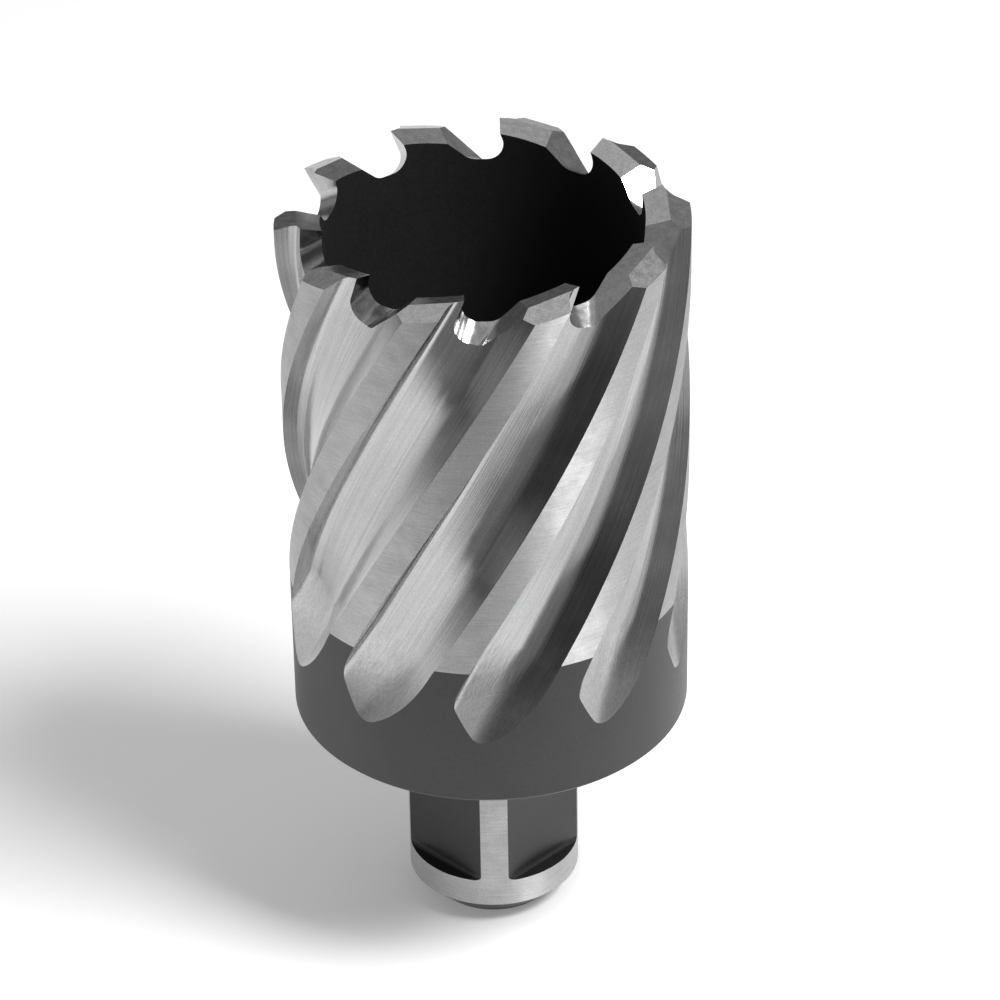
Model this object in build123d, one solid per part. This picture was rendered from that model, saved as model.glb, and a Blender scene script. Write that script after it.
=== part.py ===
"""Annular cutter: a hollow core drill ground from one bar of high-speed steel.

It stands on its shank with the teeth up. The origin is the centre of the shank's end face
and +Z runs along the axis towards the teeth. All lengths are millimetres, all angles degrees.
An angle round the axis is counted from -Y towards +X, which is the way the teeth lead.
"""
import os
from math import atan, cos, degrees, radians, sin, sqrt, tan

from build123d import *

# Shank
shank_radius = 9.525
shank_length = 26.0
shank_end_chamfer = 2.85
flat_distance = 7.735
flat_start = 6.1
flat_end = 23.4
flat_corner_radius = 0.5
flat_angles = (-45.0, 45.0)
pilot_hole_radius = 3.2
pilot_hole_chamfer = 0.5

# Body
cutting_radius = 22.0
crown_radius = 21.8
bore_radius = 17.15
depth_of_cut = 55.0
crown_edge_chamfer = 0.4
bore_floor_chamfer = 1.0

# Teeth
tooth_count = 10
tip_height = 87.45
crest_radius = 19.6
inner_bevel_angle = 14.0
outer_bevel_angle = 20.0
relief_angle = 11.0
tooth_mid_angle = 21.0
crest_lead_offset = 2.83
crest_cut_ahead = 1.0
crest_cut_length = 10.2
stock_above_tips = 0.6

# Gullets between the teeth
gullet_angle = 0.0
gullet_depth = 3.85
gullet_fall_angle = 34.0
gullet_fall_radius = 20.2
gullet_corner_radius = 1.8
gullet_floor_flat = 0.05
gullet_face_offset = 1.8
gullet_face_swing = 5.5
gullet_hook_angle = 20.0
gullet_back_offset = 3.77
gullet_back_depth = 1.6
gullet_back_angle = 42.0
gullet_back_fall_angle = 3.0

# Flutes
flute_lead_angle = 25.51
flute_twist = 1.524
land_width_angle = 9.05
flute_lead_depth = 2.3
flute_lead_undercut = 0.7
flute_depth = 2.75
flute_root_angle = 17.5
flute_root_run = 1.42
run_out_height = 43.5
run_out_length = 15.0
wheel_radius = 41.6
section_spacing = 4.5
section_turn_steps = 30

# Room that a cutting tool keeps outside the steel it cuts
clear = 3.0


def axis_plane(angle, height):
    """Plane at right angles to the tool's axis, with X pointing outwards at an angle."""
    outward = (sin(radians(angle)), -cos(radians(angle)), 0)
    return Plane(origin=(0, 0, height), x_dir=outward, z_dir=(0, 0, 1))


def tangent_plane(angle, radius):
    """Plane that faces outwards at a radius, with X along the teeth's travel and Y up."""
    outward = Vector(sin(radians(angle)), -cos(radians(angle)), 0)
    along = Vector(cos(radians(angle)), sin(radians(angle)), 0)
    return Plane(origin=outward * radius, x_dir=along, z_dir=along.cross(Vector(0, 0, 1)))


def turned_blank():
    """Shank, crown and wall before any flute is ground, with the pilot hole and slug bore."""
    top = tip_height + stock_above_tips
    bore_floor = tip_height - depth_of_cut
    outline = Polyline(
        (pilot_hole_radius + pilot_hole_chamfer, 0),
        (shank_radius - shank_end_chamfer, 0),
        (shank_radius, shank_end_chamfer),
        (shank_radius, shank_length),
        (crown_radius - crown_edge_chamfer, shank_length),
        (crown_radius, shank_length + crown_edge_chamfer),
        (cutting_radius, top),
        (bore_radius, top),
        (bore_radius, bore_floor + bore_floor_chamfer),
        (bore_radius - bore_floor_chamfer, bore_floor),
        (pilot_hole_radius, bore_floor),
        (pilot_hole_radius, pilot_hole_chamfer),
        close=True)
    return revolve(Plane.XZ * make_face(outline), Axis.Z)


def flat_cutter(angle):
    """Block that mills one clamping flat and leaves a ledge below it."""
    height = flat_end - flat_start
    block = Box(clear + shank_radius - flat_distance, 2 * shank_radius, height,
                align=(Align.MIN, Align.CENTER, Align.MIN))
    block = fillet(block.faces().sort_by(Axis.X)[0].edges().filter_by(Axis.Y), flat_corner_radius)
    return axis_plane(angle, flat_start) * Pos(flat_distance, 0, 0) * block


def helix_angle():
    """Angle between a land's edge and the tool's axis."""
    return degrees(atan(radians(flute_twist) * cutting_radius))


def wheel_lift(distance):
    """Rise of the grinding wheel's round edge at a distance past the end of the full depth."""
    return wheel_radius - sqrt(wheel_radius ** 2 - distance ** 2)


def flute_plane(index, height):
    """Plane square to a flute, with X outwards and Y across the flute.

    Down to the run-out height the planes follow the helix. Below it the wheel leaves along a
    straight line, so they keep their direction and rise out of the steel with the wheel.
    """
    level = max(height, run_out_height)
    angle = flute_lead_angle + flute_root_angle + index * 360 / tooth_count
    angle += (level - tip_height) * flute_twist
    outward = Vector(sin(radians(angle)), -cos(radians(angle)), 0)
    along = Vector(cos(radians(angle)), sin(radians(angle)), 0)
    course = along * sin(radians(helix_angle())) + Vector(0, 0, cos(radians(helix_angle())))
    distance = (level - height) / cos(radians(helix_angle()))
    origin = Vector(0, 0, level) - course * distance + outward * wheel_lift(distance)
    return Plane(origin=origin, x_dir=outward, z_dir=course)


def flute_point(radius, angle):
    """Where the helix at a radius and an angle ahead of the land's edge meets the flute's plane."""
    slope = tan(radians(helix_angle()))
    turn = angle - flute_root_angle
    for _ in range(section_turn_steps):
        turn = angle - flute_root_angle - flute_twist * radius * sin(radians(turn)) * slope
    return (radius * cos(radians(turn)), radius * sin(radians(turn)) / cos(radians(helix_angle())))


def flute_profile():
    """Section of one flute: a steep leading wall, a floor, a rounded root and a back wall."""
    lead = Vector(*flute_point(cutting_radius, 0))
    lead_foot = Vector(*flute_point(cutting_radius - flute_lead_depth, flute_lead_undercut))
    root = Vector(*flute_point(cutting_radius - flute_depth, flute_root_angle))
    back = Vector(*flute_point(cutting_radius, 360 / tooth_count - land_width_angle))
    root_start = root + (lead_foot - root).normalized() * flute_root_run
    root_end = root + (back - root).normalized() * flute_root_run
    lead_out = lead + (lead - lead_foot).normalized() * clear
    back_out = back + (back - root).normalized() * clear
    walls = Polyline(root_end, back_out, lead_out, lead_foot, root_start)
    return make_face(walls.edges() + Bezier(root_start, root, root_end).edges())


def flute_cutter(index):
    """Solid swept by the wheel along one helical flute, rising out of the steel at its foot."""
    profile = flute_profile()
    first = run_out_height - run_out_length * cos(radians(helix_angle()))
    last = tip_height + 2 * clear
    count = round((last - first) / section_spacing)
    heights = [first + (last - first) * step / count for step in range(count + 1)]
    return loft([flute_plane(index, height) * profile for height in heights])


def gullet_section(radius):
    """Section of the gullet on a plane at a radius: hooked face, floor and sloping back."""
    reach = radius - bore_radius
    floor_reach = min(radius, gullet_fall_radius) - bore_radius
    top = tip_height + clear
    floor = tip_height - gullet_depth - floor_reach * tan(radians(gullet_fall_angle))
    hook = tan(radians(gullet_hook_angle))
    rise = tan(radians(gullet_back_angle))
    face_x = -gullet_face_offset - reach * tan(radians(gullet_face_swing))
    back_height = tip_height - gullet_back_depth - reach * tan(radians(gullet_back_fall_angle))
    floor_start = face_x - (tip_height - floor) * hook
    floor_end = gullet_back_offset - (back_height - floor) / rise
    section = make_face(Polyline(
        (face_x + (top - tip_height) * hook, top),
        (floor_start, floor),
        (floor_end, floor),
        (gullet_back_offset + (top - back_height) / rise, top),
        close=True))
    corner_run = tan(radians(90 + gullet_hook_angle) / 2) + tan(radians(gullet_back_angle) / 2)
    corner_radius = min(gullet_corner_radius, (floor_end - floor_start - gullet_floor_flat) / corner_run)
    return fillet(section.vertices().group_by(Axis.Y)[0], corner_radius)


def gullet_cutter(index):
    """Solid that grinds one gullet through the wall, falling and widening outwards."""
    angle = gullet_angle + index * 360 / tooth_count
    radii = (bore_radius - clear, gullet_fall_radius, cutting_radius + clear)
    return loft([tangent_plane(angle, radius) * gullet_section(radius) for radius in radii], ruled=True)


def crest_cutter(index):
    """Solid above one tooth: two bevels meet in a crest, and both fall back behind the edge."""
    angle = tooth_mid_angle + index * 360 / tooth_count
    outward = Vector(sin(radians(angle)), -cos(radians(angle)), 0)
    along = Vector(cos(radians(angle)), sin(radians(angle)), 0)
    fall = along * -cos(radians(relief_angle)) + Vector(0, 0, -sin(radians(relief_angle)))
    start_offset = crest_lead_offset + crest_cut_ahead
    crest_height = tip_height + crest_cut_ahead * tan(radians(relief_angle))
    inner = bore_radius - clear
    outer = cutting_radius + clear
    inner_height = crest_height - (crest_radius - inner) * tan(radians(inner_bevel_angle))
    outer_height = crest_height - (outer - crest_radius) * tan(radians(outer_bevel_angle))
    top = tip_height + 2 * clear
    start = Plane(origin=along * start_offset, x_dir=outward, z_dir=outward.cross(Vector(0, 0, 1)))
    gable = make_face(Polyline(
        (inner, inner_height), (crest_radius, crest_height), (outer, outer_height),
        (outer, top), (inner, top), close=True))
    return extrude(start * gable, amount=crest_cut_length, dir=fall)


def annular_cutter():
    """The whole tool as one solid."""
    tool = turned_blank()
    for angle in flat_angles:
        tool -= flat_cutter(angle)
    for index in range(tooth_count):
        tool -= flute_cutter(index)
    for index in range(tooth_count):
        tool -= gullet_cutter(index)
    for index in range(tooth_count):
        tool -= crest_cutter(index)
    return tool


def main():
    os.makedirs("parts", exist_ok=True)
    export_step(annular_cutter(), "parts/cutter.step")


if __name__ == "__main__":
    main()
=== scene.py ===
"""Annular cutter standing on its shank, ground from one bar of high-speed steel.

The blank is turned, and the grinding wheels cut its flutes, gullets and teeth as instances
round the axis. Lengths are metres. An angle round the axis is counted from -Y towards +X.
"""
from math import atan, cos, pi, radians, sin, sqrt, tan

import bmesh
import bpy
from bpy.props import FloatProperty, FloatVectorProperty, IntProperty, PointerProperty
from mathutils import Matrix, Vector


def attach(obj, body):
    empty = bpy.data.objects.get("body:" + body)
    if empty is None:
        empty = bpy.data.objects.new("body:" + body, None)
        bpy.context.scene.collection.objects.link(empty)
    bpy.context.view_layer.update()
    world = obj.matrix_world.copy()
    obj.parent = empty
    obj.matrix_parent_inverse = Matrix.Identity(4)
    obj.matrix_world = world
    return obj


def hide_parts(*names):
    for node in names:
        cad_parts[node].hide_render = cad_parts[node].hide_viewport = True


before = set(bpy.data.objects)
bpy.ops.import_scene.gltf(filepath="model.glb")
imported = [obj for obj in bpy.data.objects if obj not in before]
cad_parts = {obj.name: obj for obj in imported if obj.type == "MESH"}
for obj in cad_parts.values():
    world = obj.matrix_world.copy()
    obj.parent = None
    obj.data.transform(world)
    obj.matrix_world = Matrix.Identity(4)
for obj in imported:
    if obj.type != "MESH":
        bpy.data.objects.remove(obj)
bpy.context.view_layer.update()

bl_info = {
    "name": "Annular Cutter",
    "version": (1, 0, 0),
    "blender": (4, 5, 0),
    "location": "3D View > Sidebar > Cutter",
    "description": "Builds an annular cutter by grinding a turned blank",
    "category": "Add Mesh",
}

UP = Vector((0, 0, 1))

# The tool's finishes. Each is an input of the tree, and its place here is the number of its faces.
SURFACES = ("Land Steel", "Black Oxide", "Bore Oxide", "Flute Steel", "Gullet Steel", "Tooth Steel",
            "Flat Oxide")
WHEEL_SURFACES = {
    "Flute Wheel": "Flute Steel",
    "Gullet Wheel": "Gullet Steel",
    "Crest Wheel": "Tooth Steel",
    "Flat Mill": "Flat Oxide",
}

# How finely the shapes are divided
TURNED_SEGMENTS = 360
CROWN_ROWS = 4
WALL_ROWS = 12
FLUTE_SECTIONS = 170
FLUTE_CORNER_STEPS = 10
GULLET_SECTIONS = 6
GULLET_CORNER_STEPS = 16
FLAT_CORNER_STEPS = 6
HELIX_ROUNDS = 30
SHARP_ANGLE = radians(22)

# Metal that is ground away, and the travel of the wheel that grinds the crests
STOCK_ABOVE_TIPS = 0.0006
CREST_AHEAD = 0.001
CREST_TRAVEL = 0.0102
NARROWEST_GULLET_FLOOR = 0.00005

# Distance within which a face counts as lying on a turned surface
SURFACE_SLACK = 0.00001


# Properties

def length(name, description, value):
    return FloatProperty(name=name, description=description, default=value, unit="LENGTH", precision=5)


def angle(name, description, degrees):
    return FloatProperty(name=name, description=description, default=radians(degrees), subtype="ANGLE")


def count(name, description, value):
    return IntProperty(name=name, description=description, default=value, min=1)


def share(name, description, value):
    return FloatProperty(name=name, description=description, default=value, min=0, max=1,
                         subtype="FACTOR")


def colour(name, description, value):
    return FloatVectorProperty(name=name, description=description, default=value, min=0, max=1,
                               size=3, subtype="COLOR")


class ShankSizes(bpy.types.PropertyGroup):
    radius: length("Radius", "Radius of the straight shank", 0.009525)
    height: length("Length", "Length of the shank, up to the crown", 0.026)
    end_chamfer: length("End Chamfer", "Chamfer round the shank's end", 0.00285)
    flat_distance: length("Flat Distance", "Distance of a clamping flat from the axis", 0.007735)
    flat_start: length("Flat Start", "Height at which a flat begins", 0.0061)
    flat_end: length("Flat End", "Height at which a flat ends", 0.0234)
    flat_corner: length("Flat Corner", "Radius left where a flat meets its ledges", 0.0005)
    flat_angle: angle("Flat Angle", "Angle of each flat from the front", 45)
    hole_radius: length("Hole Radius", "Radius of the pilot pin's hole", 0.0032)
    hole_chamfer: length("Hole Chamfer", "Chamfer of the pilot pin's hole", 0.0005)


class BodySizes(bpy.types.PropertyGroup):
    cutting_radius: length("Cutting Radius", "Radius at the teeth", 0.022)
    crown_radius: length("Crown Radius", "Radius at the crown", 0.0218)
    bore_radius: length("Bore Radius", "Radius of the slug's bore", 0.01715)
    depth_of_cut: length("Depth Of Cut", "Depth of the bore below the tips", 0.055)
    crown_chamfer: length("Crown Chamfer", "Chamfer round the crown's lower edge", 0.0004)
    floor_chamfer: length("Floor Chamfer", "Chamfer round the bore's floor", 0.001)
    oxide_height: length("Oxide Height", "Height up to which the crown keeps its black oxide", 0.0428)


class ToothSizes(bpy.types.PropertyGroup):
    number: count("Teeth", "Number of teeth", 10)
    tip_height: length("Tip Height", "Height of the tips", 0.08745)
    crest_radius: length("Crest Radius", "Radius at which the two bevels meet", 0.0196)
    inner_bevel: angle("Inner Bevel", "Fall of the inner bevel", 14)
    outer_bevel: angle("Outer Bevel", "Fall of the outer bevel", 20)
    relief: angle("Relief", "Fall of the tooth behind its edge", 11)
    middle_angle: angle("Middle Angle", "Angle at which the first tooth's bevels are set out", 21)
    lead_offset: length("Lead Offset", "Distance of the edge ahead of that angle", 0.00283)
    gullet_depth: length("Gullet Depth", "Depth of the gullet at the bore", 0.00385)
    gullet_fall: angle("Gullet Fall", "Outward fall of the gullet's floor", 34)
    gullet_fall_radius: length("Gullet Fall Radius", "Radius at which that fall ends", 0.0202)
    gullet_corner: length("Gullet Corner", "Radius of the gullet's corners", 0.0018)
    face_offset: length("Face Offset", "Distance of the tooth's face behind the gullet's line", 0.0018)
    face_swing: angle("Face Swing", "Angle of the face to the gullet's line", 5.5)
    face_hook: angle("Face Hook", "Hook angle of the face", 20)
    back_offset: length("Back Offset", "Distance of the back's top ahead of the gullet's line", 0.00377)
    back_depth: length("Back Depth", "Depth at which the gullet's back ends", 0.0016)
    back_angle: angle("Back Angle", "Slope of the gullet's back", 42)
    back_fall: angle("Back Fall", "Outward fall of the gullet's back", 3)


class FluteSizes(bpy.types.PropertyGroup):
    lead_angle: angle("Lead Angle", "Angle of a land's leading edge at the tips", 25.51)
    pitch: length("Pitch", "Height in which a flute makes one turn", 0.23622)
    land_width: angle("Land Width", "Angle that a land covers", 9.05)
    wall_depth: length("Wall Depth", "Depth of the steep leading wall", 0.0023)
    wall_lean: angle("Wall Lean", "Angle by which that wall's foot lies ahead of its edge", 0.7)
    wall_corner: length("Wall Corner", "Radius at that wall's foot", 0.0011)
    depth: length("Depth", "Depth of the flute at its root", 0.00275)
    root_angle: angle("Root Angle", "Angle of the root from the leading edge", 17.5)
    root_corner: length("Root Corner", "Radius at the root", 0.004)
    run_out_height: length("Run-Out Height", "Height at which the wheel starts to leave", 0.0435)
    run_out_length: length("Run-Out Length", "Distance in which it leaves the steel", 0.015)
    wheel_radius: length("Wheel Radius", "Radius of the grinding wheel", 0.0416)
    room: length("Room", "How far a wheel reaches out of the steel", 0.003)


class Finish(bpy.types.PropertyGroup):
    steel: colour("Steel", "Colour of the ground steel", (0.5, 0.5, 0.505))
    oxide: colour("Black Oxide", "Colour of the black oxide", (0.044, 0.044, 0.045))
    land_roughness: share("Land Roughness", "Roughness of the lands and the shank", 0.39)
    flute_roughness: share("Flute Roughness", "Roughness of the flutes", 0.13)
    foot_roughness: share("Foot Roughness", "Roughness at the flutes' foot", 0.34)
    foot_height: length("Foot Height", "Height up to which that roughness is full", 0.037)
    foot_end: length("Foot End", "Height at which it has faded out", 0.047)
    gullet_roughness: share("Gullet Roughness", "Roughness of the gullets", 0.21)
    tooth_roughness: share("Tooth Roughness", "Roughness of the tooth bevels", 0.2)
    crown_roughness: share("Crown Roughness", "Roughness of the crown's black oxide", 0.42)
    bore_roughness: share("Bore Roughness", "Roughness of the bore's black oxide", 0.6)
    flat_roughness: share("Flat Roughness", "Roughness of the flats' black oxide", 0.34)


class CutterSettings(bpy.types.PropertyGroup):
    shank: PointerProperty(type=ShankSizes, name="Shank")
    body: PointerProperty(type=BodySizes, name="Body")
    teeth: PointerProperty(type=ToothSizes, name="Teeth")
    flutes: PointerProperty(type=FluteSizes, name="Flutes")
    finish: PointerProperty(type=Finish, name="Finish")


# Meshes

def mesh_object(name, points, faces):
    """Object with a closed mesh whose faces point outwards."""
    mesh = bpy.data.meshes.new(name)
    shape = bmesh.new()
    corners = [shape.verts.new(point) for point in points]
    for face in faces:
        shape.faces.new([corners[index] for index in face])
    bmesh.ops.recalc_face_normals(shape, faces=shape.faces)
    shape.to_mesh(mesh)
    shape.free()
    piece = bpy.data.objects.new(name, mesh)
    bpy.context.scene.collection.objects.link(piece)
    return piece


def lofted(name, sections):
    """Solid through closed sections that have the same number of points."""
    points = [point for section in sections for point in section]
    size = len(sections[0])
    faces = [list(range(size)), list(range(len(points) - size, len(points)))]
    for row in range(len(sections) - 1):
        for column in range(size):
            following = (column + 1) % size
            faces.append((row * size + column, row * size + following,
                          (row + 1) * size + following, (row + 1) * size + column))
    return mesh_object(name, points, faces)


def turned(name, outline, segments):
    """Ring of metal turned from a closed outline of radius and height."""
    size = len(outline)
    points = []
    faces = []
    for step in range(segments):
        turn = 2 * pi * step / segments
        points += [(radius * sin(turn), -radius * cos(turn), height) for radius, height in outline]
        for index in range(size):
            here, there = step * size, (step + 1) % segments * size
            following = (index + 1) % size
            faces.append((here + index, here + following, there + following, there + index))
    return mesh_object(name, points, faces)


def rounded(corners, radii, steps):
    """Closed outline whose corners are arcs; a radius of 0 keeps the corner sharp."""
    outline = []
    for index, radius in enumerate(radii):
        corner = corners[index]
        if radius == 0:
            outline.append(corner)
            continue
        back = (corners[index - 1] - corner).normalized()
        on = (corners[(index + 1) % len(corners)] - corner).normalized()
        half = back.angle(on) / 2
        centre = corner + (back + on).normalized() * radius / sin(half)
        first = corner + back * radius / tan(half) - centre
        last = corner + on * radius / tan(half) - centre
        sweep = first.angle(last)
        for step in range(steps + 1):
            part = sweep * step / steps
            outline.append(centre + (first * sin(sweep - part) + last * sin(part)) / sin(sweep))
    return outline


def evenly(first, last, steps):
    """Values from first to last in equal steps."""
    return [first + (last - first) * step / steps for step in range(steps + 1)]


def outward_at(turn):
    """Direction away from the axis at an angle."""
    return Vector((sin(turn), -cos(turn), 0))


def along_at(turn):
    """Direction in which the teeth travel at an angle."""
    return Vector((cos(turn), sin(turn), 0))


# Blank and wheels

def blank(settings):
    """Shank, crown and wall as turned, before anything is ground."""
    shank, body, teeth = settings.shank, settings.body, settings.teeth
    top = teeth.tip_height + STOCK_ABOVE_TIPS
    floor = teeth.tip_height - body.depth_of_cut
    lower = shank.height + body.crown_chamfer
    outline = [
        (shank.hole_radius + shank.hole_chamfer, 0),
        (shank.radius - shank.end_chamfer, 0),
        (shank.radius, shank.end_chamfer),
        (shank.radius, shank.height),
        (body.crown_radius - body.crown_chamfer, shank.height),
    ]
    slope = (body.cutting_radius - body.crown_radius) / (top - lower)
    crown = evenly(lower, body.oxide_height, CROWN_ROWS)
    wall = evenly(body.oxide_height, top, WALL_ROWS)
    for height in crown + wall[1:]:
        outline.append((body.crown_radius + (height - lower) * slope, height))
    for height in evenly(top, floor + body.floor_chamfer, WALL_ROWS):
        outline.append((body.bore_radius, height))
    outline += [
        (body.bore_radius - body.floor_chamfer, floor),
        (shank.hole_radius, floor),
        (shank.hole_radius, shank.hole_chamfer),
    ]
    return turned("cutter_blank", outline, TURNED_SEGMENTS)


def twist(settings):
    """Turn of a flute for each metre of height."""
    return 2 * pi / settings.flutes.pitch


def helix(settings):
    """Angle between a flute and the axis."""
    return atan(twist(settings) * settings.body.cutting_radius)


def flute_frame(settings, height):
    """Centre and directions of the plane square to the first flute, lifted with the wheel."""
    flutes = settings.flutes
    level = max(height, flutes.run_out_height)
    turn = flutes.lead_angle + flutes.root_angle
    turn += (level - settings.teeth.tip_height) * twist(settings)
    course = along_at(turn) * sin(helix(settings)) + UP * cos(helix(settings))
    distance = (level - height) / cos(helix(settings))
    lift = flutes.wheel_radius - sqrt(flutes.wheel_radius ** 2 - distance ** 2)
    centre = UP * level - course * distance + outward_at(turn) * lift
    return centre, outward_at(turn), course.cross(outward_at(turn))


def flute_point(settings, radius, turn):
    """Where the helix at a radius and an angle ahead of the land's edge meets the flute's plane."""
    slope = tan(helix(settings))
    ahead = turn - settings.flutes.root_angle
    for _ in range(HELIX_ROUNDS):
        ahead = turn - settings.flutes.root_angle - twist(settings) * radius * sin(ahead) * slope
    return Vector((radius * cos(ahead), radius * sin(ahead) / cos(helix(settings))))


def flute_wheel(settings):
    """Solid that the grinding wheel sweeps along the first flute."""
    flutes = settings.flutes
    rim = settings.body.cutting_radius
    edge = flute_point(settings, rim, 0)
    wall_foot = flute_point(settings, rim - flutes.wall_depth, flutes.wall_lean)
    root = flute_point(settings, rim - flutes.depth, flutes.root_angle)
    back = flute_point(settings, rim, 2 * pi / settings.teeth.number - flutes.land_width)
    edge_out = edge + (edge - wall_foot).normalized() * flutes.room
    back_out = back + (back - root).normalized() * flutes.room
    wheel = rounded([edge_out, wall_foot, root, back_out],
                    [0, flutes.wall_corner, flutes.root_corner, 0], FLUTE_CORNER_STEPS)
    first = flutes.run_out_height - flutes.run_out_length * cos(helix(settings))
    last = settings.teeth.tip_height + 2 * flutes.room
    sections = []
    for height in evenly(first, last, FLUTE_SECTIONS):
        centre, outward, across = flute_frame(settings, height)
        sections.append([centre + outward * point.x + across * point.y for point in wheel])
    return lofted("flute_wheel", sections)


def gullet_section(settings, radius):
    """Outline of the gullet on a plane at a radius: hooked face, floor and sloping back."""
    teeth, bore = settings.teeth, settings.body.bore_radius
    reach = radius - bore
    floor_reach = min(radius, teeth.gullet_fall_radius) - bore
    top = teeth.tip_height + settings.flutes.room
    floor = teeth.tip_height - teeth.gullet_depth - floor_reach * tan(teeth.gullet_fall)
    face = -teeth.face_offset - reach * tan(teeth.face_swing)
    back = teeth.tip_height - teeth.back_depth - reach * tan(teeth.back_fall)
    floor_start = face - (teeth.tip_height - floor) * tan(teeth.face_hook)
    floor_end = teeth.back_offset - (back - floor) / tan(teeth.back_angle)
    corner_run = tan((pi / 2 + teeth.face_hook) / 2) + tan(teeth.back_angle / 2)
    widest_corner = (floor_end - floor_start - NARROWEST_GULLET_FLOOR) / corner_run
    corner = min(teeth.gullet_corner, widest_corner)
    outline = [
        Vector((face + (top - teeth.tip_height) * tan(teeth.face_hook), top)),
        Vector((floor_start, floor)),
        Vector((floor_end, floor)),
        Vector((teeth.back_offset + (top - back) / tan(teeth.back_angle), top)),
    ]
    return rounded(outline, [0, corner, corner, 0], GULLET_CORNER_STEPS)


def gullet_wheel(settings):
    """Solid that grinds the first gullet through the wall."""
    room, fall_radius = settings.flutes.room, settings.teeth.gullet_fall_radius
    radii = (settings.body.bore_radius - room, fall_radius, settings.body.cutting_radius + room)
    outlines = [gullet_section(settings, radius) for radius in radii]
    sections = []
    for part in range(2):
        for step in evenly(0, 1, GULLET_SECTIONS)[part:]:
            radius = radii[part] + (radii[part + 1] - radii[part]) * step
            outline = [a.lerp(b, step) for a, b in zip(outlines[part], outlines[part + 1])]
            sections.append([outward_at(0) * radius + along_at(0) * point.x + UP * point.y
                             for point in outline])
    return lofted("gullet_wheel", sections)


def crest_wheel(settings):
    """Solid above the first tooth: two bevels meet in a crest and fall back behind the edge."""
    body, teeth, room = settings.body, settings.teeth, settings.flutes.room
    turn = teeth.middle_angle
    fall = along_at(turn) * -cos(teeth.relief) + UP * -sin(teeth.relief)
    crest = teeth.tip_height + CREST_AHEAD * tan(teeth.relief)
    inner = body.bore_radius - room
    outer = body.cutting_radius + room
    top = teeth.tip_height + 2 * room
    gable = [
        (inner, crest - (teeth.crest_radius - inner) * tan(teeth.inner_bevel)),
        (teeth.crest_radius, crest),
        (outer, crest - (outer - teeth.crest_radius) * tan(teeth.outer_bevel)),
        (outer, top),
        (inner, top),
    ]
    start = along_at(turn) * (teeth.lead_offset + CREST_AHEAD)
    sections = []
    for distance in (0, CREST_TRAVEL):
        sections.append([start + fall * distance + outward_at(turn) * x + UP * y for x, y in gable])
    return lofted("crest_wheel", sections)


def flat_mill(settings):
    """Solid that mills the flat at the front, with a ledge at each end."""
    shank, room = settings.shank, settings.flutes.room
    near, far = shank.flat_distance, shank.radius + room
    outline = [Vector((near, shank.flat_start)), Vector((far, shank.flat_start)),
               Vector((far, shank.flat_end)), Vector((near, shank.flat_end))]
    outline = rounded(outline, [shank.flat_corner, 0, 0, shank.flat_corner], FLAT_CORNER_STEPS)
    sections = []
    for side in (-shank.radius, shank.radius):
        sections.append([Vector((side, -point.x, point.y)) for point in outline])
    return lofted("flat_mill", sections)


# Geometry Nodes

def tree_node(tree, kind, **values):
    """Node of a kind with its options set."""
    made = tree.nodes.new(kind)
    for name, value in values.items():
        setattr(made, name, value)
    return made


def instances_round_axis(tree, wheel, number, step, start):
    """Copies of an object's mesh, turned about the axis by equal steps from a start angle."""
    source = tree_node(tree, "GeometryNodeObjectInfo")
    points = tree_node(tree, "GeometryNodePoints")
    index = tree_node(tree, "GeometryNodeInputIndex")
    turn = tree_node(tree, "ShaderNodeMath", operation="MULTIPLY_ADD")
    turning = tree_node(tree, "ShaderNodeCombineXYZ")
    copies = tree_node(tree, "GeometryNodeInstanceOnPoints")
    tree.links.new(wheel, source.inputs["Object"])
    tree.links.new(number, points.inputs["Count"])
    tree.links.new(index.outputs["Index"], turn.inputs[0])
    tree.links.new(step, turn.inputs[1])
    tree.links.new(start, turn.inputs[2])
    tree.links.new(turn.outputs[0], turning.inputs["Z"])
    tree.links.new(points.outputs[0], copies.inputs["Points"])
    tree.links.new(source.outputs["Geometry"], copies.inputs["Instance"])
    tree.links.new(turning.outputs[0], copies.inputs["Rotation"])
    return copies.outputs["Instances"]


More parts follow.
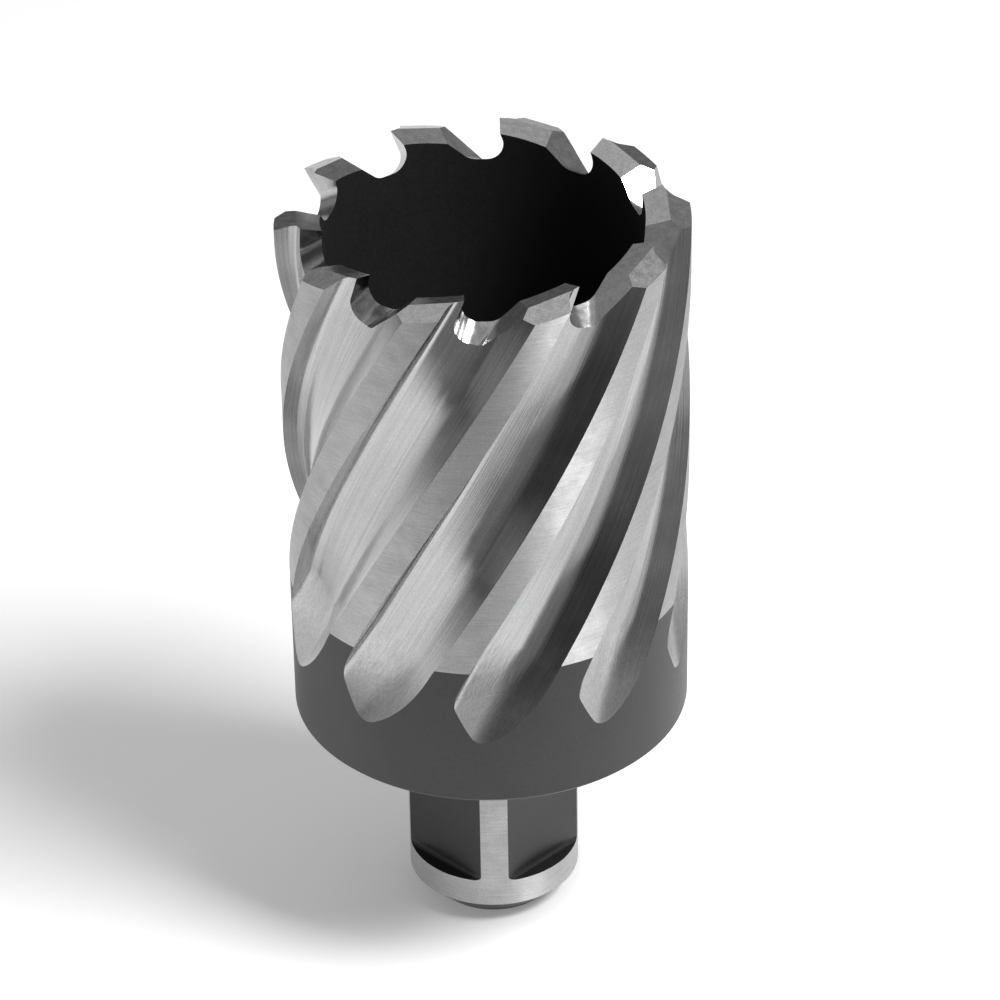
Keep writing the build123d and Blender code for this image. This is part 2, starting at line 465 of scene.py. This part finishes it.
def grinding_tree():
    """Tree that grinds a blank with three wheels and a mill, each set out round the axis."""
    tree = bpy.data.node_groups.new("grind_cutter", "GeometryNodeTree")
    face = tree.interface
    face.new_socket("Blank", in_out="INPUT", socket_type="NodeSocketGeometry")
    for name in WHEEL_SURFACES:
        face.new_socket(name, in_out="INPUT", socket_type="NodeSocketObject")
    for name in ("Teeth", "Flats"):
        face.new_socket(name, in_out="INPUT", socket_type="NodeSocketInt")
    for name in ("Tooth Step", "Flat Step", "Flat Start", "Sharp Angle"):
        face.new_socket(name, in_out="INPUT", socket_type="NodeSocketFloat")
    for name in SURFACES:
        face.new_socket(name, in_out="INPUT", socket_type="NodeSocketMaterial")
    face.new_socket("Cutter", in_out="OUTPUT", socket_type="NodeSocketGeometry")
    given = tree_node(tree, "NodeGroupInput").outputs
    zero = tree_node(tree, "ShaderNodeValue").outputs[0]
    solid = given["Blank"]
    for wheel, number, step, start in (("Flute Wheel", "Teeth", "Tooth Step", zero),
                                       ("Gullet Wheel", "Teeth", "Tooth Step", zero),
                                       ("Crest Wheel", "Teeth", "Tooth Step", zero),
                                       ("Flat Mill", "Flats", "Flat Step", given["Flat Start"])):
        cut = tree_node(tree, "GeometryNodeMeshBoolean", operation="DIFFERENCE", solver="MANIFOLD")
        tree.links.new(solid, cut.inputs["Mesh 1"])
        tools = instances_round_axis(tree, given[wheel], given[number], given[step], start)
        tree.links.new(tools, cut.inputs["Mesh 2"])
        solid = cut.outputs["Mesh"]
    smooth = tree_node(tree, "GeometryNodeSetShadeSmooth", domain="FACE")
    edges = tree_node(tree, "GeometryNodeSetShadeSmooth", domain="EDGE")
    bend = tree_node(tree, "GeometryNodeInputMeshEdgeAngle")
    sharp = tree_node(tree, "FunctionNodeCompare", data_type="FLOAT", operation="GREATER_THAN")
    smooth.inputs["Shade Smooth"].default_value = True
    edges.inputs["Shade Smooth"].default_value = False
    tree.links.new(solid, smooth.inputs["Geometry"])
    tree.links.new(smooth.outputs[0], edges.inputs["Geometry"])
    tree.links.new(bend.outputs["Unsigned Angle"], sharp.inputs["A"])
    tree.links.new(given["Sharp Angle"], sharp.inputs["B"])
    tree.links.new(sharp.outputs[0], edges.inputs["Selection"])
    realized = tree_node(tree, "GeometryNodeRealizeInstances")
    tree.links.new(edges.outputs[0], realized.inputs["Geometry"])
    solid = realized.outputs["Geometry"]
    surface = tree_node(tree, "GeometryNodeInputNamedAttribute", data_type="INT")
    surface.inputs["Name"].default_value = "surface"
    for number, name in enumerate(SURFACES):
        same = tree_node(tree, "FunctionNodeCompare", data_type="INT", operation="EQUAL")
        paint = tree_node(tree, "GeometryNodeSetMaterial")
        tree.links.new(surface.outputs["Attribute"], same.inputs["A"])
        same.inputs["B"].default_value = number
        tree.links.new(same.outputs[0], paint.inputs["Selection"])
        tree.links.new(given[name], paint.inputs["Material"])
        tree.links.new(solid, paint.inputs["Geometry"])
        solid = paint.outputs[0]
    tree.links.new(solid, tree_node(tree, "NodeGroupOutput").inputs["Cutter"])
    return tree


def ground(settings, materials):
    """Runs the tree on the blank and returns the finished tool as a plain mesh object."""
    piece = blank(settings)
    tree = grinding_tree()
    wheels = {
        "Flute Wheel": flute_wheel(settings),
        "Gullet Wheel": gullet_wheel(settings),
        "Crest Wheel": crest_wheel(settings),
        "Flat Mill": flat_mill(settings),
    }
    mark_turned_surfaces(piece.data, settings)
    for name, surface in WHEEL_SURFACES.items():
        mark_surface(wheels[name].data, SURFACES.index(surface))
    inputs = {
        **wheels,
        **materials,
        "Teeth": settings.teeth.number,
        "Flats": 2,
        "Tooth Step": 2 * pi / settings.teeth.number,
        "Flat Step": 2 * settings.shank.flat_angle,
        "Flat Start": -settings.shank.flat_angle,
        "Sharp Angle": SHARP_ANGLE,
    }
    modifier = piece.modifiers.new("grind", "NODES")
    modifier.node_group = tree
    for socket in tree.interface.items_tree:
        if socket.in_out == "INPUT" and socket.name in inputs:
            modifier[socket.identifier] = inputs[socket.name]
    bpy.context.view_layer.update()
    finished = piece.evaluated_get(bpy.context.evaluated_depsgraph_get())
    mesh = bpy.data.meshes.new_from_object(finished)
    mesh.name = "ground_cutter"
    cutter = bpy.data.objects.new("ground_cutter", mesh)
    bpy.context.scene.collection.objects.link(cutter)
    for tool in [piece, *wheels.values()]:
        bpy.data.objects.remove(tool)
    return cutter


def mark_surface(mesh, number):
    """Numbers every face of a wheel, so that what it grinds takes the right finish."""
    mark = mesh.attributes.new("surface", "INT", "FACE")
    mark.data.foreach_set("value", [number] * len(mesh.polygons))


def mark_turned_surfaces(mesh, settings):
    """Numbers the blank's faces; the wall and the shank keep 0, which is the lands' steel."""
    body, shank = settings.body, settings.shank
    crown, bore = SURFACES.index("Black Oxide"), SURFACES.index("Bore Oxide")
    mark = mesh.attributes.new("surface", "INT", "FACE")
    for face, value in zip(mesh.polygons, mark.data):
        middle = face.center
        across = sqrt(middle.x ** 2 + middle.y ** 2)
        if across < body.bore_radius + SURFACE_SLACK and middle.z > shank.height + SURFACE_SLACK:
            value.value = bore
        elif across < shank.hole_radius + shank.hole_chamfer:
            value.value = bore
        elif middle.z < shank.end_chamfer:
            value.value = crown
        elif shank.height - SURFACE_SLACK < middle.z < body.oxide_height:
            value.value = crown


# Materials

# Most of a noise texture's values lie in this range
NOISE_RANGE = (0.3, 0.7)
CLOUD_RANGE = (0.32, 0.68)

STEEL_GAIN = 1.16
STEEL_GRAIN_SCALE = 5200
STEEL_DARKEST_GRAIN = 0.84
STEEL_SHEEN_SWING = (-0.04, 0.05)
LAND_TONE = 1.24
LAND_STRETCH = 0.95
TOOTH_TONE = 1.25

OXIDE_INDEX = 1.5
OXIDE_DARKEST_GRAIN = 0.75
OXIDE_DARKEST_CLOUD = 0.85
OXIDE_SHEEN_SWING = (-0.03, 0.05)
OXIDE_MARK_DEPTH = 0.000004
# Painted shade: the bore's black oxide is a darker copy of the crown's
BORE_PAINTED_SHADE = 0.25
FLAT_TONE = 0.7

QUARTER_TURN = 0.25


def new_material(name, metallic):
    """Material with a Principled shader that is all metal or none."""
    material = bpy.data.materials.new(name)
    material.use_nodes = True
    shader = material.node_tree.nodes["Principled BSDF"]
    shader.inputs["Metallic"].default_value = metallic
    return material, shader


def object_place(tree):
    """Socket with the place on the object."""
    return tree_node(tree, "ShaderNodeTexCoord").outputs["Object"]


def parts_of(tree, vector):
    """Sockets with a vector's three parts."""
    parts = tree_node(tree, "ShaderNodeSeparateXYZ")
    tree.links.new(vector, parts.inputs[0])
    return parts.outputs


def combined(tree, operation, first, second):
    """Socket with the result of a math operation on two values."""
    result = tree_node(tree, "ShaderNodeMath", operation=operation)
    tree.links.new(first, result.inputs[0])
    tree.links.new(second, result.inputs[1])
    return result.outputs[0]


def scaled_vector(tree, vector, scale):
    """Socket with a vector times a value."""
    result = tree_node(tree, "ShaderNodeVectorMath", operation="SCALE")
    tree.links.new(vector, result.inputs[0])
    tree.links.new(scale, result.inputs["Scale"])
    return result.outputs[0]


def value_between(tree, value, low, high, floor=0.0, ceiling=1.0):
    """Socket that runs from floor to ceiling as a value runs from low to high."""
    ramp = tree_node(tree, "ShaderNodeMapRange")
    tree.links.new(value, ramp.inputs["Value"])
    for name, number in (("From Min", low), ("From Max", high), ("To Min", floor), ("To Max", ceiling)):
        ramp.inputs[name].default_value = number
    return ramp.outputs["Result"]


def colour_between(tree, value, dark, light):
    """Socket that runs from a dark to a light colour with a value."""
    mix = tree_node(tree, "ShaderNodeMix", data_type="RGBA")
    tree.links.new(value, mix.inputs["Factor"])
    mix.inputs["A"].default_value = (*dark, 1)
    mix.inputs["B"].default_value = (*light, 1)
    return mix.outputs["Result"]


def grey(value):
    return (value, value, value)


def scaled(colour, factor):
    return [channel * factor for channel in colour]


def noise(tree, vector, detail, roughness):
    """Noise texture on a vector, with its value socket returned."""
    texture = tree_node(tree, "ShaderNodeTexNoise")
    texture.inputs["Scale"].default_value = 1
    texture.inputs["Detail"].default_value = detail
    texture.inputs["Roughness"].default_value = roughness
    tree.links.new(vector, texture.inputs["Vector"])
    return texture.outputs["Fac"]


def grinding_marks_group():
    """Shader group: streaks along a helix, grain and soft clouds on the object's coordinates."""
    tree = bpy.data.node_groups.new("grinding_marks", "ShaderNodeTree")
    face = tree.interface
    for name in ("Twist", "Across", "Along", "Grain", "Broad"):
        face.new_socket(name, in_out="INPUT", socket_type="NodeSocketFloat")
    for name in ("Streaks", "Grain", "Clouds"):
        face.new_socket(name, in_out="OUTPUT", socket_type="NodeSocketFloat")
    given = tree_node(tree, "NodeGroupInput").outputs
    place = object_place(tree)
    untwist = tree_node(tree, "ShaderNodeVectorRotate", rotation_type="Z_AXIS", invert=True)
    tree.links.new(place, untwist.inputs["Vector"])
    tree.links.new(combined(tree, "MULTIPLY", parts_of(tree, place)["Z"], given["Twist"]),
                   untwist.inputs["Angle"])
    sizes = tree_node(tree, "ShaderNodeCombineXYZ")
    tree.links.new(given["Across"], sizes.inputs["X"])
    tree.links.new(given["Across"], sizes.inputs["Y"])
    tree.links.new(given["Along"], sizes.inputs["Z"])
    stretched = tree_node(tree, "ShaderNodeVectorMath", operation="MULTIPLY")
    tree.links.new(untwist.outputs[0], stretched.inputs[0])
    tree.links.new(sizes.outputs[0], stretched.inputs[1])
    even = scaled_vector(tree, place, given["Grain"])
    broad = scaled_vector(tree, untwist.outputs[0], given["Broad"])
    result = tree_node(tree, "NodeGroupOutput")
    for name, vector, detail, roughness in (("Streaks", stretched.outputs[0], 3, 0.6),
                                            ("Grain", even, 2, 0.5),
                                            ("Clouds", broad, 2, 0.5)):
        tree.links.new(noise(tree, vector, detail, roughness), result.inputs[name])
    return tree


def marks_in(tree, group, turn, across, along, grain, broad):
    """Places the grinding marks in a material with its own values."""
    marks = tree_node(tree, "ShaderNodeGroup", node_tree=group)
    for name, value in (("Twist", turn), ("Across", across), ("Along", along), ("Grain", grain),
                        ("Broad", broad)):
        marks.inputs[name].default_value = value
    return marks.outputs


def bumped(tree, shader, height, distance):
    """Feeds a height into the shader's normal."""
    bump = tree_node(tree, "ShaderNodeBump")
    bump.inputs["Strength"].default_value = 1
    bump.inputs["Distance"].default_value = distance
    tree.links.new(height, bump.inputs["Height"])
    tree.links.new(bump.outputs["Normal"], shader.inputs["Normal"])


def ground_steel(name, group, colour, roughness, turn, across, along, depth, broad, streaky, cloudy):
    """Bare steel with the marks of one grinding wheel.

    Across, along and broad are marks in a metre. Depth is the height of a mark, and streaky and
    cloudy are how much darker the darkest streak and cloud are.
    """
    material, shader = new_material(name, 1)
    tree = material.node_tree
    marks = marks_in(tree, group, turn, across, along, STEEL_GRAIN_SCALE, broad)
    streaks = value_between(tree, marks["Streaks"], *NOISE_RANGE, 1 - streaky, 1)
    grain = value_between(tree, marks["Grain"], *NOISE_RANGE, STEEL_DARKEST_GRAIN, 1)
    clouds = value_between(tree, marks["Clouds"], *CLOUD_RANGE, 1 - cloudy, 1)
    tone = combined(tree, "MULTIPLY", combined(tree, "MULTIPLY", streaks, grain), clouds)
    tree.links.new(colour_between(tree, tone, grey(0), scaled(colour, STEEL_GAIN)),
                   shader.inputs["Base Color"])
    sheen = value_between(tree, marks["Clouds"], *NOISE_RANGE,
                          *(roughness + swing for swing in STEEL_SHEEN_SWING))
    tree.links.new(sheen, shader.inputs["Roughness"])
    bumped(tree, shader, marks["Streaks"], depth)
    return material


def brushed_round(material, amount):
    """Stretches the reflections of turned or cylindrically ground steel along the tool's axis."""
    tree = material.node_tree
    shader = tree.nodes["Principled BSDF"]
    shader.inputs["Anisotropic"].default_value = amount
    shader.inputs["Anisotropic Rotation"].default_value = QUARTER_TURN
    around = tree_node(tree, "ShaderNodeTangent", direction_type="RADIAL", axis="Z")
    tree.links.new(around.outputs["Tangent"], shader.inputs["Tangent"])
    return material


def matt_foot(material, roughness, full_height, end_height):
    """Duller finish towards the foot of the flutes, where the wheel leaves the steel."""
    tree = material.node_tree
    sheen = tree.nodes["Principled BSDF"].inputs["Roughness"]
    ground = sheen.links[0].from_socket
    height = parts_of(tree, object_place(tree))["Z"]
    foot = value_between(tree, height, full_height, end_height, roughness, 0)
    tree.links.new(combined(tree, "MAXIMUM", ground, foot), sheen)
    return material


def black_oxide(name, group, colour, roughness):
    """Black oxide on turned steel: satin, a little mottled, with faint turning lines."""
    material, shader = new_material(name, 0)
    shader.inputs["IOR"].default_value = OXIDE_INDEX
    tree = material.node_tree
    marks = marks_in(tree, group, turn=0, across=300, along=9000, grain=2600, broad=160)
    grain = value_between(tree, marks["Grain"], *NOISE_RANGE, OXIDE_DARKEST_GRAIN, 1)
    clouds = value_between(tree, marks["Clouds"], *NOISE_RANGE, OXIDE_DARKEST_CLOUD, 1)
    tree.links.new(colour_between(tree, combined(tree, "MULTIPLY", grain, clouds), grey(0), colour),
                   shader.inputs["Base Color"])
    sheen = value_between(tree, marks["Grain"], *NOISE_RANGE,
                          *(roughness + swing for swing in OXIDE_SHEEN_SWING))
    tree.links.new(sheen, shader.inputs["Roughness"])
    bumped(tree, shader, marks["Streaks"], OXIDE_MARK_DEPTH)
    return material


def cutter_materials(settings):
    """Every surface's material, by the name of its input in the tree."""
    finish = settings.finish
    group = grinding_marks_group()
    lands = ground_steel("land_steel", group, scaled(finish.steel, LAND_TONE), finish.land_roughness,
                         turn=0, across=350, along=7000, depth=0.000004, broad=500,
                         streaky=0.2, cloudy=0.1)
    flutes = ground_steel("flute_steel", group, finish.steel, finish.flute_roughness,
                          turn=twist(settings), across=5600, along=60, depth=0.00001, broad=240,
                          streaky=0.26, cloudy=0.08)
    gullets = ground_steel("gullet_steel", group, finish.steel, finish.gullet_roughness,
                           turn=0, across=2500, along=2500, depth=0.000002, broad=900,
                           streaky=0.15, cloudy=0.1)
    teeth = ground_steel("tooth_steel", group, scaled(finish.steel, TOOTH_TONE),
                         finish.tooth_roughness, turn=0, across=6500, along=6500, depth=0.000008,
                         broad=1300, streaky=0.2, cloudy=0.17)
    return {
        "Land Steel": brushed_round(lands, LAND_STRETCH),
        "Black Oxide": black_oxide("black_oxide", group, finish.oxide, finish.crown_roughness),
        # Black oxide in the bore, darkened as painted shade
        "Bore Oxide": black_oxide("bore_oxide_painted_shade", group, scaled(finish.oxide, BORE_PAINTED_SHADE),
                                  finish.bore_roughness),
        "Flute Steel": matt_foot(flutes, finish.foot_roughness, finish.foot_height,
                                 finish.foot_end),
        "Gullet Steel": gullets,
        "Tooth Steel": teeth,
        "Flat Oxide": black_oxide("flat_oxide", group, scaled(finish.oxide, FLAT_TONE),
                                  finish.flat_roughness),
    }


# Stage

PICTURE_PIXELS = 1000
FOCAL_PIXELS = 5167.63
SENSOR_MILLIMETRES = 36
CAMERA_CENTRE = Vector((0, 0, 0.04))
CAMERA_DISTANCE = 0.568143
CAMERA_ELEVATION = radians(33.709)
CAMERA_YAW = radians(0.135)
CAMERA_PITCH = radians(0.911)
CAMERA_ROLL = radians(-1.061)

KEY_PLACE = (0.358, -0.197, 0.644)
KEY_TARGET = (0, 0, 0.03)
KEY_SIZE = 0.27
KEY_POWER = 6.2

# Table, its painted glow in place of fill light and the painted shadow that only reflections see, each
# range in metres from the axis
TABLE_HALF = 3
TABLE_ROUGHNESS = 0.8
TABLE_SPECULAR = 0.2
TABLE_SHADOW_AND_PALE_TONES = (0.18, 0.9)
TABLE_PAINTED_GLOWS = (0.04, 0.207)
# Painted shadow: a slanted patch in front of the picture where reflections see a darker table
PAINTED_SHADOW_EDGE = (-0.107, -0.083)
PAINTED_SHADOW_SLANT_RANGE = (-0.14, -0.02)
PAINTED_SHADOW_SLANT = 0.055
PAINTED_SHADOW_RIGHT = (0.055, 0.085)
BESIDE_PAINTED_SHADOW = 0.5
# Painted shade: in reflections the table darkens towards the far left and a little to the right
LEFT_PAINTED_SHADE = (-0.6, -0.25)
LEFT_PAINTED_SHADE_END = 0.2
RIGHT_PAINTED_SHADE = (0.02, 0.07)
RIGHT_PAINTED_SHADE_END = 0.78
BACKDROP_FADE = (0.15, 0.7)
BACKDROP_GLOW = 0.9

# Room, by the direction that a reflection looks in
OVERHEAD_DIRECTION = (-0.25, 0.32, 0.914)
OVERHEAD_SHARPNESS = 4
OVERHEAD_GLOWS = (0.06, 0.65)
RIGHT_RANGE = (-0.2, 0.75)
RIGHT_GLOW = 0.17
LEFT_RANGE = (-0.95, -0.75)
LEFT_GLOW = 0.3


def turned_pair(first, second, turn):
    """Two directions at right angles, both turned by an angle in their own plane."""
    return first * cos(turn) + second * sin(turn), second * cos(turn) - first * sin(turn)


def studio_camera():
    """Camera at the photograph's place and angle."""
    lens = bpy.data.cameras.new("studio_camera")
    lens.sensor_width = SENSOR_MILLIMETRES
    lens.lens = FOCAL_PIXELS * SENSOR_MILLIMETRES / PICTURE_PIXELS
    lens.clip_start = 0.05
    lens.clip_end = 5
    camera = bpy.data.objects.new("studio_camera", lens)
    bpy.context.scene.collection.objects.link(camera)
    back = Vector((0, -cos(CAMERA_ELEVATION), sin(CAMERA_ELEVATION)))
    right = Vector((1, 0, 0))
    forward, up = -back, back.cross(right)
    forward, right = turned_pair(forward, right, CAMERA_YAW)
    forward, up = turned_pair(forward, up, CAMERA_PITCH)
    right, up = turned_pair(right, up, CAMERA_ROLL)
    turn = Matrix((right, up, -forward)).transposed()
    camera.matrix_world = Matrix.Translation(CAMERA_CENTRE + back * CAMERA_DISTANCE) @ turn.to_4x4()
    bpy.context.scene.camera = camera


def softbox(name, place, target, size, power):
    """Square area light that faces a point."""
    lamp = bpy.data.lights.new(name, "AREA")
    lamp.shape = "SQUARE"
    lamp.size = size
    lamp.energy = power
    light = bpy.data.objects.new(name, lamp)
    bpy.context.scene.collection.objects.link(light)
    turn = (Vector(target) - Vector(place)).to_track_quat("-Z", "Y")
    light.matrix_world = Matrix.Translation(place) @ turn.to_matrix().to_4x4()


def lit_share(tree, place):
    """Socket with how pale the table is in reflections, with a painted shadow in front of the picture
    and painted shade towards the far left and the right.
    """
    parts = parts_of(tree, place)
    # Painted shadow on a slanted patch in front of the picture
    slant = value_between(tree, parts["X"], *PAINTED_SHADOW_SLANT_RANGE, PAINTED_SHADOW_SLANT, 0)
    behind_painted_shadow = value_between(tree, combined(tree, "ADD", parts["Y"], slant), *PAINTED_SHADOW_EDGE)
    beside_painted_shadow = value_between(tree, parts["X"], *PAINTED_SHADOW_RIGHT, 0, BESIDE_PAINTED_SHADOW)
    outside_painted_shadow = combined(tree, "MAXIMUM", beside_painted_shadow, behind_painted_shadow)
    # Painted shade towards the far left and the right
    shade_to_left = value_between(tree, parts["X"], *LEFT_PAINTED_SHADE, LEFT_PAINTED_SHADE_END, 1)
    shade_to_right = value_between(tree, parts["X"], *RIGHT_PAINTED_SHADE, 1, RIGHT_PAINTED_SHADE_END)
    return combined(tree, "MULTIPLY", combined(tree, "MULTIPLY", outside_painted_shadow, shade_to_left), shade_to_right)


def glowing_table_material():
    """Pale sheet with a painted glow in place of fill light, plain to the camera and darkened in part
    by painted shadow in reflections.
    """
    material, shader = new_material("glowing_table", 0)
    shader.inputs["Roughness"].default_value = TABLE_ROUGHNESS
    shader.inputs["Specular IOR Level"].default_value = TABLE_SPECULAR
    tree = material.node_tree
    place = object_place(tree)
    lit = lit_share(tree, place)
    seen = tree_node(tree, "ShaderNodeLightPath").outputs["Is Camera Ray"]
    tones = [grey(tone) for tone in TABLE_SHADOW_AND_PALE_TONES]
    tree.links.new(colour_between(tree, combined(tree, "MAXIMUM", lit, seen), *tones),
                   shader.inputs["Base Color"])
    distance = tree_node(tree, "ShaderNodeVectorMath", operation="LENGTH")
    tree.links.new(place, distance.inputs[0])
    fade = value_between(tree, distance.outputs["Value"], *BACKDROP_FADE, 0, BACKDROP_GLOW)
    backdrop = combined(tree, "MULTIPLY", seen, fade)
    # Painted glow: emission that lifts the table and its shadow in place of fill light, weaker under
    # the painted shadow; further out the camera sees an evenly pale backdrop
    painted_glow_and_backdrop = combined(tree, "MAXIMUM", value_between(tree, lit, 0, 1, *TABLE_PAINTED_GLOWS), backdrop)
    tree.links.new(colour_between(tree, painted_glow_and_backdrop, grey(0), grey(1)), shader.inputs["Emission Color"])
    shader.inputs["Emission Strength"].default_value = 1
    return material


def pale_floor():
    """Plain pale table top under the cutter."""
    corners = [(x * TABLE_HALF, y * TABLE_HALF, 0) for x, y in ((-1, -1), (1, -1), (1, 1), (-1, 1))]
    floor = mesh_object("pale_floor", corners, [(0, 1, 2, 3)])
    # The table's material paints a glow and a shadow on it
    floor.data.materials.append(glowing_table_material())


def studio_world():
    """Dim room, lighter overhead and at both sides, pale where the camera sees it."""
    world = bpy.data.worlds.new("studio_world")
    world.use_nodes = True
    tree = world.node_tree
    direction = tree_node(tree, "ShaderNodeTexCoord").outputs["Generated"]
    height = tree_node(tree, "ShaderNodeVectorMath", operation="DOT_PRODUCT")
    tree.links.new(direction, height.inputs[0])
    height.inputs[1].default_value = OVERHEAD_DIRECTION
    upper = value_between(tree, height.outputs["Value"], 0, 1)
    rise = tree_node(tree, "ShaderNodeMath", operation="POWER")
    tree.links.new(upper, rise.inputs[0])
    rise.inputs[1].default_value = OVERHEAD_SHARPNESS
    overhead = value_between(tree, rise.outputs[0], 0, 1, *OVERHEAD_GLOWS)
    across = parts_of(tree, direction)["X"]
    right = value_between(tree, across, *RIGHT_RANGE, 0, RIGHT_GLOW)
    left = value_between(tree, across, *LEFT_RANGE, LEFT_GLOW, 0)
    room = combined(tree, "ADD", overhead, combined(tree, "ADD", left, right))
    seen = tree_node(tree, "ShaderNodeLightPath").outputs["Is Camera Ray"]
    background = tree.nodes["Background"]
    background.inputs["Color"].default_value = (1, 1, 1, 1)
    tree.links.new(combined(tree, "MAXIMUM", room, seen), background.inputs["Strength"])
    bpy.context.scene.world = world


# Operators

class CUTTER_OT_grind(bpy.types.Operator):
    """Turn the blank and grind the flutes, gullets, teeth and flats."""
    bl_idname = "cutter.grind"
    bl_label = "Grind Cutter"

    def execute(self, context):
        settings = context.scene.annular_cutter
        cutter = ground(settings, cutter_materials(settings))
        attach(cutter, "root")
        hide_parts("cutter")
        return {"FINISHED"}


class CUTTER_OT_stage(bpy.types.Operator):
    """Set up the table, the studio light and the camera."""
    bl_idname = "cutter.stage"
    bl_label = "Set Up Studio"

    def execute(self, context):
        pale_floor()
        studio_world()
        softbox("key_softbox", KEY_PLACE, KEY_TARGET, KEY_SIZE, KEY_POWER)
        studio_camera()
        context.scene.view_settings.view_transform = "Standard"
        return {"FINISHED"}


class CUTTER_PT_panel(bpy.types.Panel):
    """Sizes, finishes and building steps of the cutter."""
    bl_idname = "CUTTER_PT_panel"
    bl_label = "Annular Cutter"
    bl_space_type = "VIEW_3D"
    bl_region_type = "UI"
    bl_category = "Cutter"

    def draw(self, context):
        settings = context.scene.annular_cutter
        for group in (settings.shank, settings.body, settings.teeth, settings.flutes, settings.finish):
            box = self.layout.box()
            for name in group.__annotations__:
                box.prop(group, name)
        self.layout.operator(CUTTER_OT_grind.bl_idname)
        self.layout.operator(CUTTER_OT_stage.bl_idname)


CLASSES = (ShankSizes, BodySizes, ToothSizes, FluteSizes, Finish, CutterSettings, CUTTER_OT_grind,
           CUTTER_OT_stage, CUTTER_PT_panel)


def register():
    for group in CLASSES:
        bpy.utils.register_class(group)
    bpy.types.Scene.annular_cutter = PointerProperty(type=CutterSettings)


def unregister():
    del bpy.types.Scene.annular_cutter
    for group in reversed(CLASSES):
        bpy.utils.unregister_class(group)


def main():
    register()
    bpy.ops.cutter.grind()
    bpy.ops.cutter.stage()


if __name__ == "__main__":
    main()
